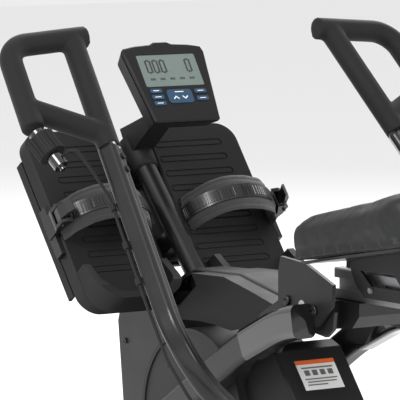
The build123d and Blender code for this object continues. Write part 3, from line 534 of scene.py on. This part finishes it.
def inflate(obj, cap, down_cap):
    """Swell the mesh with cloth under pressure, with gravity off.

    Each point moves at most cap, or down_cap where it faces down.
    """
    start = coords(obj)
    normals = np.empty(len(start) * 3)
    obj.data.vertices.foreach_get("normal", normals)
    normals = normals.reshape(-1, 3)
    cloth = obj.modifiers.new("Cloth", "CLOTH")
    cloth.settings.quality = 5
    cloth.settings.mass = 0.3
    cloth.settings.tension_stiffness = 12
    cloth.settings.compression_stiffness = 12
    cloth.settings.shear_stiffness = 5
    cloth.settings.bending_stiffness = 0.4
    cloth.settings.use_pressure = True
    cloth.settings.uniform_pressure_force = 4.0
    cloth.settings.effector_weights.gravity = 0.0
    cloth.collision_settings.use_collision = False
    cloth.point_cache.frame_start = 1
    cloth.point_cache.frame_end = CLOTH_FRAMES
    scene = bpy.context.scene
    for number in range(1, CLOTH_FRAMES + 1):
        scene.frame_set(number)
    depsgraph = bpy.context.evaluated_depsgraph_get()
    result = obj.evaluated_get(depsgraph).to_mesh()
    moved = np.empty(len(start) * 3)
    result.vertices.foreach_get("co", moved)
    obj.evaluated_get(depsgraph).to_mesh_clear()
    obj.modifiers.clear()
    scene.frame_set(1)
    shift = moved.reshape(-1, 3) - start
    length = np.linalg.norm(shift, axis=1)
    limit = np.where(normals[:, 2] < -0.6, down_cap, cap)
    scale = np.minimum(1.0, limit / np.maximum(length, 1e-9))
    set_coords(obj, start + shift * scale[:, None])


def seat_cushion():
    """Upholstered seat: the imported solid, drawn in, swollen by cloth pressure, seamed and creased.

    Seam: inward step 1.6 mm * exp(-(h / 2.6 mm)^2), h the height over a line 14 mm above the underside.
    Creases: 1.8 mm * exp(-(d / 6 mm)^2) inwards at slanting lines on the sides, with a swell of
    1.2 mm * exp(-((d - 13 mm) / 8 mm)^2) beside each, both fading upwards and at the underside.
    """
    low, high = (np.array(c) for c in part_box("cushion"))
    centre = (low + high) / 2
    mesh = NODES["cushion"].data.copy()
    obj = bpy.data.objects.new("seat_cushion", mesh)
    bpy.context.scene.collection.objects.link(obj)
    set_coords(obj, centre + (coords(obj) - centre) * np.array([0.972, 0.972, 0.95]))
    remeshed(obj, 0.0055)
    inflate(obj, 0.009, 0.0012)
    subdivide = obj.modifiers.new("Subdivision", "SUBSURF")
    subdivide.levels = subdivide.render_levels = 1
    baked(obj)
    p = coords(obj)
    under = low[2] + (high[1] - p[:, 1]) * math.tan(SEAT_TILT)
    height = p[:, 2] - under
    outward = np.stack([(p[:, 0] - centre[0]) / SEAT_HALF_WIDTH, (p[:, 1] - centre[1]) / SEAT_HALF_LENGTH], 1)
    edge = np.abs(outward) ** 6
    rim = np.clip((edge.sum(1) - 0.35) / 0.4, 0, 1)
    direction = outward * np.abs(outward) ** 5
    direction /= np.maximum(np.linalg.norm(direction, axis=1), 1e-6)[:, None]
    depth = SEAM_DEPTH * np.exp(-((height - SEAM_HEIGHT) / SEAM_WIDTH) ** 2)
    for y0, lean in CREASES:
        across = p[:, 1] - y0 + lean * (height - 0.02)
        fade = np.clip((0.062 - height) / 0.03, 0, 1) * np.clip(height / 0.012, 0, 1)
        depth += 0.0018 * np.exp(-(across / 0.006) ** 2) * fade
        depth -= 0.0012 * np.exp(-((across - 0.013) / 0.008) ** 2) * fade
    p[:, :2] -= direction * (depth * rim)[:, None]
    set_coords(obj, p)
    obj.data.materials.clear()
    obj.data.materials.append(MAT["vinyl"])
    obj.data.shade_smooth()
    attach(obj, "seat")
    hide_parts("cushion")


seat_cushion()


# ---- straps --------------------------------------------------------------------------------------
SIDES = ((-1, "left"), (1, "right"))
STRAP_X, STRAP_UP, STRAP_RX, STRAP_RN = 0.118, -0.078, 0.080, 0.064
PAD_INSET = 0.0040
LADDER_THICK = 1.5 * MM


def padded_strap(side, name):
    """Padded foot strap on half an ellipse.

    At angle t the middle line is (RX - 4 mm) cos t, (RN - 4 mm) sin t. The section is a closed pad 62 mm
    wide, half-thick 3.7 mm * (1 - |w|^3.2)^0.5, pinched by 1.1 mm at two stitched channels at |w| = 0.74,
    with cross waves 0.8 mm high that fade towards the middle of the width.
    """
    t = np.linspace(0.03, np.pi - 0.03, 150)[:, None]
    a = np.linspace(0, 2 * np.pi, 72, endpoint=False)[None, :]
    w = np.sign(np.cos(a)) * np.abs(np.cos(a)) ** 0.8
    half = 0.0037 * np.sqrt(np.maximum(1 - np.abs(w) ** 3.2, 0.06))
    half = half - 0.0011 * np.exp(-((np.abs(w) - 0.74) / 0.06) ** 2)
    r = half * np.sign(np.sin(a)) * np.abs(np.sin(a)) ** 0.35
    wave = 0.0008 * np.sin(13 * t + 2.0 * w) * (0.35 + np.abs(np.cos(t)) ** 2) * np.abs(w) ** 2
    r = r + wave
    width = 0.031 * (1 - 0.05 * np.cos(t) ** 2) * w + 0.0012 * np.sin(4 * t)
    x = side * STRAP_X + (STRAP_RX - PAD_INSET + r) * np.cos(t)
    out = 0.0006 + (STRAP_RN - PAD_INSET + r) * np.sin(t)
    points, faces = closed_tube(plate_grid(x, STRAP_UP + width + 0 * r, out))
    obj = piece(name, points, faces, "strap_fabric", "base", slot="strap_fabric")
    return obj


for side, word in SIDES:
    pad = padded_strap(side, "strap_pad_" + word)
    if side < 0:
        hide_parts("strap_pads")


def ladder_strap(side, name):
    """Toothed strap over the pad: 24 mm wide, 1.5 mm thick at its edges, 1.6 mm in the middle band.

    The rib's height at arc length s is 1.1 mm * clip(3 sin(2 pi s / 5 mm), 0, 1).
    """
    t = np.linspace(0.02, np.pi - 0.02, 520)
    arc = t * 0.075
    rib = 0.0016 + 0.0011 * np.clip(3 * np.sin(2 * np.pi * arc / 0.005), 0, 1)
    w = np.array([-12, -12, -8.5, -8, 8, 8.5, 12, 12]) * MM
    rings = []
    for angle, top in zip(t, rib):
        r = np.array([0, LADDER_THICK, LADDER_THICK, top, top, LADDER_THICK, LADDER_THICK, 0]) + 0.0004
        x = side * STRAP_X + (STRAP_RX + r) * math.cos(angle)
        out = 0.0005 + (STRAP_RN + r) * math.sin(angle)
        rings.append(plate_grid(x, STRAP_UP + w, out))
    points, faces = closed_tube(np.array(rings))
    return piece(name, points, faces, "strap_plastic", "base", slot="strap_plastic", smooth=False)


for side, word in SIDES:
    band = ladder_strap(side, "ladder_strap_" + word)
    if side < 0:
        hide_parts("ladder_straps")


# ---- arms and grips ------------------------------------------------------------------------------
SHAFT_YZ = (0.150, 0.160)
HUB_INNER, HUB_OUTER = 0.064, 0.0982
ARM_BEND = 0.105
GRIP_BEND = 0.042


def arm_section(wide, thick, radius, groove):
    """Rounded rectangle with two shallow grooves along each broad face.

    The face is set in by groove * exp(-((|v| - 3.2 mm) / 1.1 mm)^2), v the distance from its middle line.
    """
    points = []
    for sx, sy, start in ((1, 1, 0), (-1, 1, 90), (-1, -1, 180), (1, -1, 270)):
        for angle in np.radians(np.linspace(start, start + 90, 7)):
            points.append((sx * (wide / 2 - radius) + radius * math.cos(angle),
                           sy * (thick / 2 - radius) + radius * math.sin(angle)))
    points = np.array(points)
    fine = []
    for p, q in zip(points, np.roll(points, -1, 0)):
        count = max(1, int(np.linalg.norm(q - p) / 0.0009))
        fine += [p + (q - p) * k / count for k in range(count)]
    fine = np.array(fine)
    on_face = np.abs(np.abs(fine[:, 0]) - wide / 2) < 1e-6
    dip = groove * (np.exp(-((np.abs(fine[:, 1]) - 0.0032) / 0.0011) ** 2)) * on_face
    fine[:, 0] -= np.sign(fine[:, 0]) * dip
    return fine


def steel_arm(side, name, node):
    """Grooved tube from the foam grip down to its hub on the shaft.

    Two straight runs joined by one arc, with the grooved section carried along them, and a turned hub.
    """
    start, corner, end = (mirrored(p, side) for p in (FOAM_END, ARM_CORNER, ARM_HUB))
    path = resampled(filleted([start, corner, end], ARM_BEND), 0.006)
    flat = np.cross(corner - start, end - corner)
    flat /= np.linalg.norm(flat)
    rings = swept(path, flat, arm_section(0.030, 0.032, 0.008, 0.0013))
    hub = disc_part((side * HUB_INNER, *SHAFT_YZ), X_AXIS * side, (0.0195, 0.022, 0.022, 0.0195),
                    (0.0, 0.002, 0.032, 0.034), 40)
    cap = disc_part((side * HUB_OUTER, *SHAFT_YZ), X_AXIS * side, (0.0125, 0.0125, 0.009),
                    (0.0, 0.0035, 0.005), 6)
    points, faces = merge((closed_tube(rings), hub))
    piece(name, points, faces, "steel_black", "arms", slot="steel_black", instead_of=(node,))
    piece(name + "_cap", *cap, "zinc", "arms", slot="zinc", smooth=False)


steel_arm(-1, "arm_tube_left", "arm_left")
steel_arm(1, "arm_tube_right", "arm_right")


def grip_point(out, up, side):
    """Point out from the grip's inner bar and up along it, from the foam's lower end."""
    return mirrored(FOAM_END + GRIP_UP * up + np.array([1, 0, -0.05]) * out, side)


def foam_grip(side, name, node):
    """Moulded foam grip: three round bars run into each other, joined and softened as one skin.

    Each bar is a circle of the grip's radius plus 0.4 mm carried along its line; the voxel remesh joins them.
    """
    top_bar = filleted([grip_point(-0.024, GRIP_LENGTH, side),
                        grip_point(GRIP_WIDTH, GRIP_LENGTH - 0.004, side),
                        grip_point(GRIP_WIDTH, OUTER_END, side)], GRIP_BEND)
    inner_bar = np.array([grip_point(0, 0, side), grip_point(0, GRIP_LENGTH, side)])
    strut = np.array([grip_point(0.004, 0.031, side), grip_point(GRIP_WIDTH - 0.004, 0.089, side)])
    depth_axis = np.cross(X_AXIS, GRIP_UP)
    skin = round_section(GRIP_R + 0.0004, 32)
    bars = [closed_tube(swept(resampled(bar, 0.004), depth_axis, skin))
            for bar in (top_bar, inner_bar, strut)]
    points, faces = merge(bars)
    obj = piece(name, points, faces, "foam", None, slot="foam")
    remeshed(obj, 0.0026, 6)
    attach(obj, "arms")
    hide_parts(node)


foam_grip(-1, "foam_grip_left", "handle_left")
foam_grip(1, "foam_grip_right", "handle_right")


# ---- console display -----------------------------------------------------------------------------
CONSOLE_AXES = (X_AXIS, CONSOLE_UP, CONSOLE_OUT)
PRINT_THICK = 0.0003
ON_DISPLAY, ON_BUTTON = -0.0007, 0.0016


def console_bar(x, up, out, wide, high):
    """Thin printed bar lying in the console's face."""
    return box_part(on_console(x, up, out), CONSOLE_AXES, (wide, high, PRINT_THICK))


def zero_digit(x, up, wide, high, bar):
    """The six outer bars of a seven-segment zero."""
    segments = (
        (0, high / 2, wide, bar),
        (wide / 2, high / 4, bar, high / 2),
        (wide / 2, -high / 4, bar, high / 2),
        (0, -high / 2, wide, bar),
        (-wide / 2, -high / 4, bar, high / 2),
        (-wide / 2, high / 4, bar, high / 2),
    )
    return [console_bar(x + dx, up + dz, ON_DISPLAY, max(w - bar * 1.2, bar), max(h - bar * 0.2, bar))
            for dx, dz, w, h in segments]


DIGIT_X, DIGIT_UP = (-0.037, -0.024, -0.011, 0.036), 0.036
DIGIT_SIZE = (0.0080, 0.0215, 0.0029)     # width, height and bar
READING_X, READING_UP, READING_PITCH = (-0.040, -0.022, -0.004, 0.014, 0.032), 0.0135, 0.0032
READING_SIZE = (0.0022, 0.0036)


def display_digits():
    """Large digits and small reading marks on the display."""
    parts = []
    for x in DIGIT_X:
        parts += zero_digit(x, DIGIT_UP, *DIGIT_SIZE)
    for x in READING_X:
        parts += [console_bar(x + k * READING_PITCH, READING_UP, ON_DISPLAY, *READING_SIZE) for k in range(3)]
    points, faces = merge(parts)
    piece("display_digits", points, faces, "lcd_dark", "console", slot="plastic_black", smooth=False)


display_digits()


BUTTON_MARKS = (
    (-0.041, -0.008, "left_top"),
    (-0.041, -0.019, "left_middle"),
    (-0.041, -0.030, "left_low"),
    (0.040, -0.011, "right_top"),
    (0.040, -0.024, "right_low"),
)


CHEVRON_X, CHEVRON_UP, CHEVRON_LEAN = 0.0085, -0.0215, 0.75     # lean in radians
LEG_SHIFT, LEG_SIZE = 0.0022, (0.0068, 0.0018)


def chevrons():
    """Up and down chevrons on the centre button, and a short bar on each of the others."""
    parts = []
    for x, turn in ((-CHEVRON_X, 1), (CHEVRON_X, -1)):
        for lean in (-1, 1):
            across = X_AXIS * math.cos(CHEVRON_LEAN) + CONSOLE_UP * math.sin(CHEVRON_LEAN) * -lean * turn
            square = np.cross(CONSOLE_OUT, across)
            parts.append(box_part(on_console(x + lean * LEG_SHIFT, CHEVRON_UP, ON_BUTTON),
                                  (across, square, CONSOLE_OUT), (*LEG_SIZE, PRINT_THICK)))
    parts.append(console_bar(0, -0.0115, ON_BUTTON, 0.016, 0.0014))
    points, faces = merge(parts)
    piece("button_marks", points, faces, "print_white", "b_centre", slot="blue", smooth=False)
    for x, up, button in BUTTON_MARKS:
        mark = console_bar(x, up, ON_BUTTON, 0.011, 0.0012)
        piece("mark_" + button, *mark, "print_white", "b_" + button, slot="blue", smooth=False)


chevrons()


# ---- covers --------------------------------------------------------------------------------------
def profile_panel(name, line, half, rise, material, body, slot):
    """Raised panel along a Y-Z line, half wide each way, narrowing and closing at its rim.

    At s along it and u across it, both from one rim to the other, with e = |2s - 1|, the half width is
    half * (1 - e^4 / 4) and the height is rise * (1 - u^12) * (1 - e^16) - 0.6 mm.
    """
    path = resampled(np.array([(0, y, z) for y, z in line]) * MM, 0.006)
    _, right, up = frames_along(path, X_AXIS)
    up = np.where(up[:, 2:3] < 0, -up, up)
    u = np.linspace(-1, 1, 25)
    s = np.linspace(0, 1, len(path))
    taper = 1 - 0.25 * np.abs(2 * s - 1) ** 4
    top = path[:, None] + X_AXIS * (u[None, :, None] * half * taper[:, None, None])
    lift = rise * (1 - u[None, :] ** 12) * (1 - np.abs(2 * s - 1)[:, None] ** 16) - 0.0006
    points = (top + up[:, None] * lift[..., None]).reshape(-1, 3)
    piece(name, points, grid_faces(len(path), len(u)), material, body, slot=slot)


SHROUD_LINE = ((462, 386), (446, 390.5), (320, 394.5), (262, 382.5), (200, 368))     # Y and Z in mm
profile_panel("shroud_panel", SHROUD_LINE, 0.034, 0.0030, "panel_grey", "base", "disc_grey")


LABEL_WIDE, LABEL_HIGH = 0.070, 0.050
LABEL_RAISE, LABEL_PRINT = 0.0005, 0.0004
LABEL_BARS = (
    (0.012, 0, 0.056, 0.0022),
    *((0.0035, x, 0.009, 0.009) for x in (-0.021, -0.007, 0.007, 0.021)),
    (-0.007, 0, 0.058, 0.0018),
    (-0.012, 0, 0.052, 0.0018),
    (-0.017, -0.010, 0.036, 0.0018),
)     # height on the plate, place across it, width and height of each


def label_plate():
    """Blank information plate on the rear cover: white body, orange strip and grey bars, no words."""
    low, high = np.array((0, 0.141, 0.234)), np.array((0, 0.190, 0.296))
    along = (high - low) / np.linalg.norm(high - low)
    out = np.array([0, -along[2], along[1]])
    centre = low + along * 0.034 + out * 0.0007
    axes = (X_AXIS, along, out)
    body = box_part(centre, axes, (LABEL_WIDE, LABEL_HIGH, 0.0006))
    strip = box_part(centre + along * 0.0215 + out * LABEL_RAISE, axes, (LABEL_WIDE, 0.007, LABEL_PRINT))
    bars = [box_part(centre + along * up + out * LABEL_RAISE + X_AXIS * x, axes, (wide, tall, LABEL_PRINT))
            for up, x, wide, tall in LABEL_BARS]
    for name, shape, finish in (("label_body", body, "print_white"), ("label_strip", strip, "print_orange"),
                                ("label_bars", merge(bars), "print_grey")):
        piece(name, *shape, finish, "base", slot="rubber", smooth=False)


label_plate()


COVER_FACE_X = 0.0716
COVER_SCREW_YZ = ((0.300, 0.262), (0.574, 0.270), (0.556, 0.070), (0.290, 0.070))
HINGE_FACE_X = 0.0821
HINGE_BOLT_YZ = ((0.062, 0.372), (0.128, 0.380))


def screws():
    """Dark socket screws on the housing covers and on the hinge plates."""
    parts = []
    for y, z in COVER_SCREW_YZ:
        for side in (1, -1):
            parts.append(disc_part((side * COVER_FACE_X, y, z), X_AXIS * side,
                                   (0.0048, 0.0048, 0.0038, 0.0022, 0.0020),
                                   (0.0, 0.0012, 0.0018, 0.0018, 0.0006), 20))
    piece("cover_screws", *merge(parts), "steel_black", "base", slot="steel_black")
    bolts = []
    for side in (-1, 1):
        for y, z in HINGE_BOLT_YZ:
            bolts.append(disc_part((side * HINGE_FACE_X, y, z), X_AXIS * side,
                                   (0.0075, 0.0075, 0.006, 0.0035, 0.0033),
                                   (0.0, 0.003, 0.0042, 0.0042, 0.0016), 24))
    piece("hinge_bolts", *merge(bolts), "steel_black", "base", slot="steel_black")


screws()


MAST_FOOT, MAST_TOP = np.array((0, 0.447, 0.340)), np.array((0, 0.664, 0.573))
COLLAR_PROFILE = (
    (0.062, 0.0175),
    (0.058, 0.0212),
    (0.040, 0.0224),
    (0.020, 0.0236),
    (0.004, 0.0240),
    (0.001, 0.0180),
)     # distance below the mast's top and radius there


def neck_collar():
    """Moulded collar round the mast's upper end: a turned form with a radius at each distance from it."""
    along = (MAST_TOP - MAST_FOOT) / np.linalg.norm(MAST_TOP - MAST_FOOT)
    line = [MAST_TOP - along * below for below, _ in COLLAR_PROFILE]
    rings = np.stack([swept(np.array([p, p + along * 0.001]), X_AXIS, round_section(r, 40))[0]
                      for p, (_, r) in zip(line, COLLAR_PROFILE)])
    points, faces = closed_tube(rings)
    piece("neck_collar", points, faces, "plastic_black", "base", slot="plastic_black")


neck_collar()
